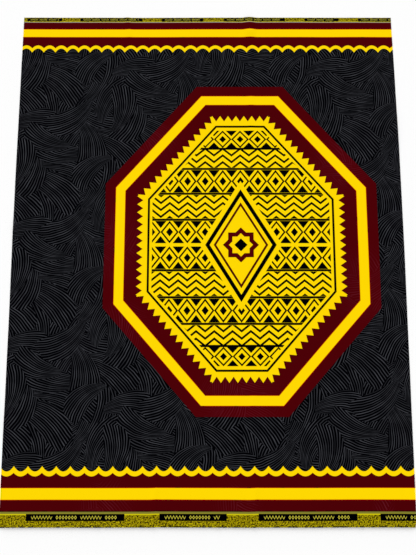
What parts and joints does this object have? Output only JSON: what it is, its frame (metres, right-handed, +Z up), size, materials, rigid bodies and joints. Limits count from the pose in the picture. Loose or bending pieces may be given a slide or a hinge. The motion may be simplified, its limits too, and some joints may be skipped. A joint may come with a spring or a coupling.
{
  "type": "length of african wax print fabric",
  "caption": "Flat length of wax print cotton between two selvedges, with a large off-centre medallion and striped, scalloped borders, lying on a surface.",
  "frame": {"origin": "under the middle of the cloth, on the surface that it lies on", "axes": "+X along the cut length, +Y from the near selvedge to the far one, +Z up, out of the cloth's face"},
  "size_m": [0.9215, 1.2202, 0.0041],
  "materials": {
    "wax_print": "calendered plain-weave cotton, wax-resist printed in black, maroon and yellow",
    "selvedge": "close plain-weave cotton selvedge, speckled olive yellow with black marking boxes"
  },
  "bodies": {
    "root": {"printed_web": "wax_print", "near_selvedge": "selvedge", "far_selvedge": "selvedge"}
  },
  "joints": []
}
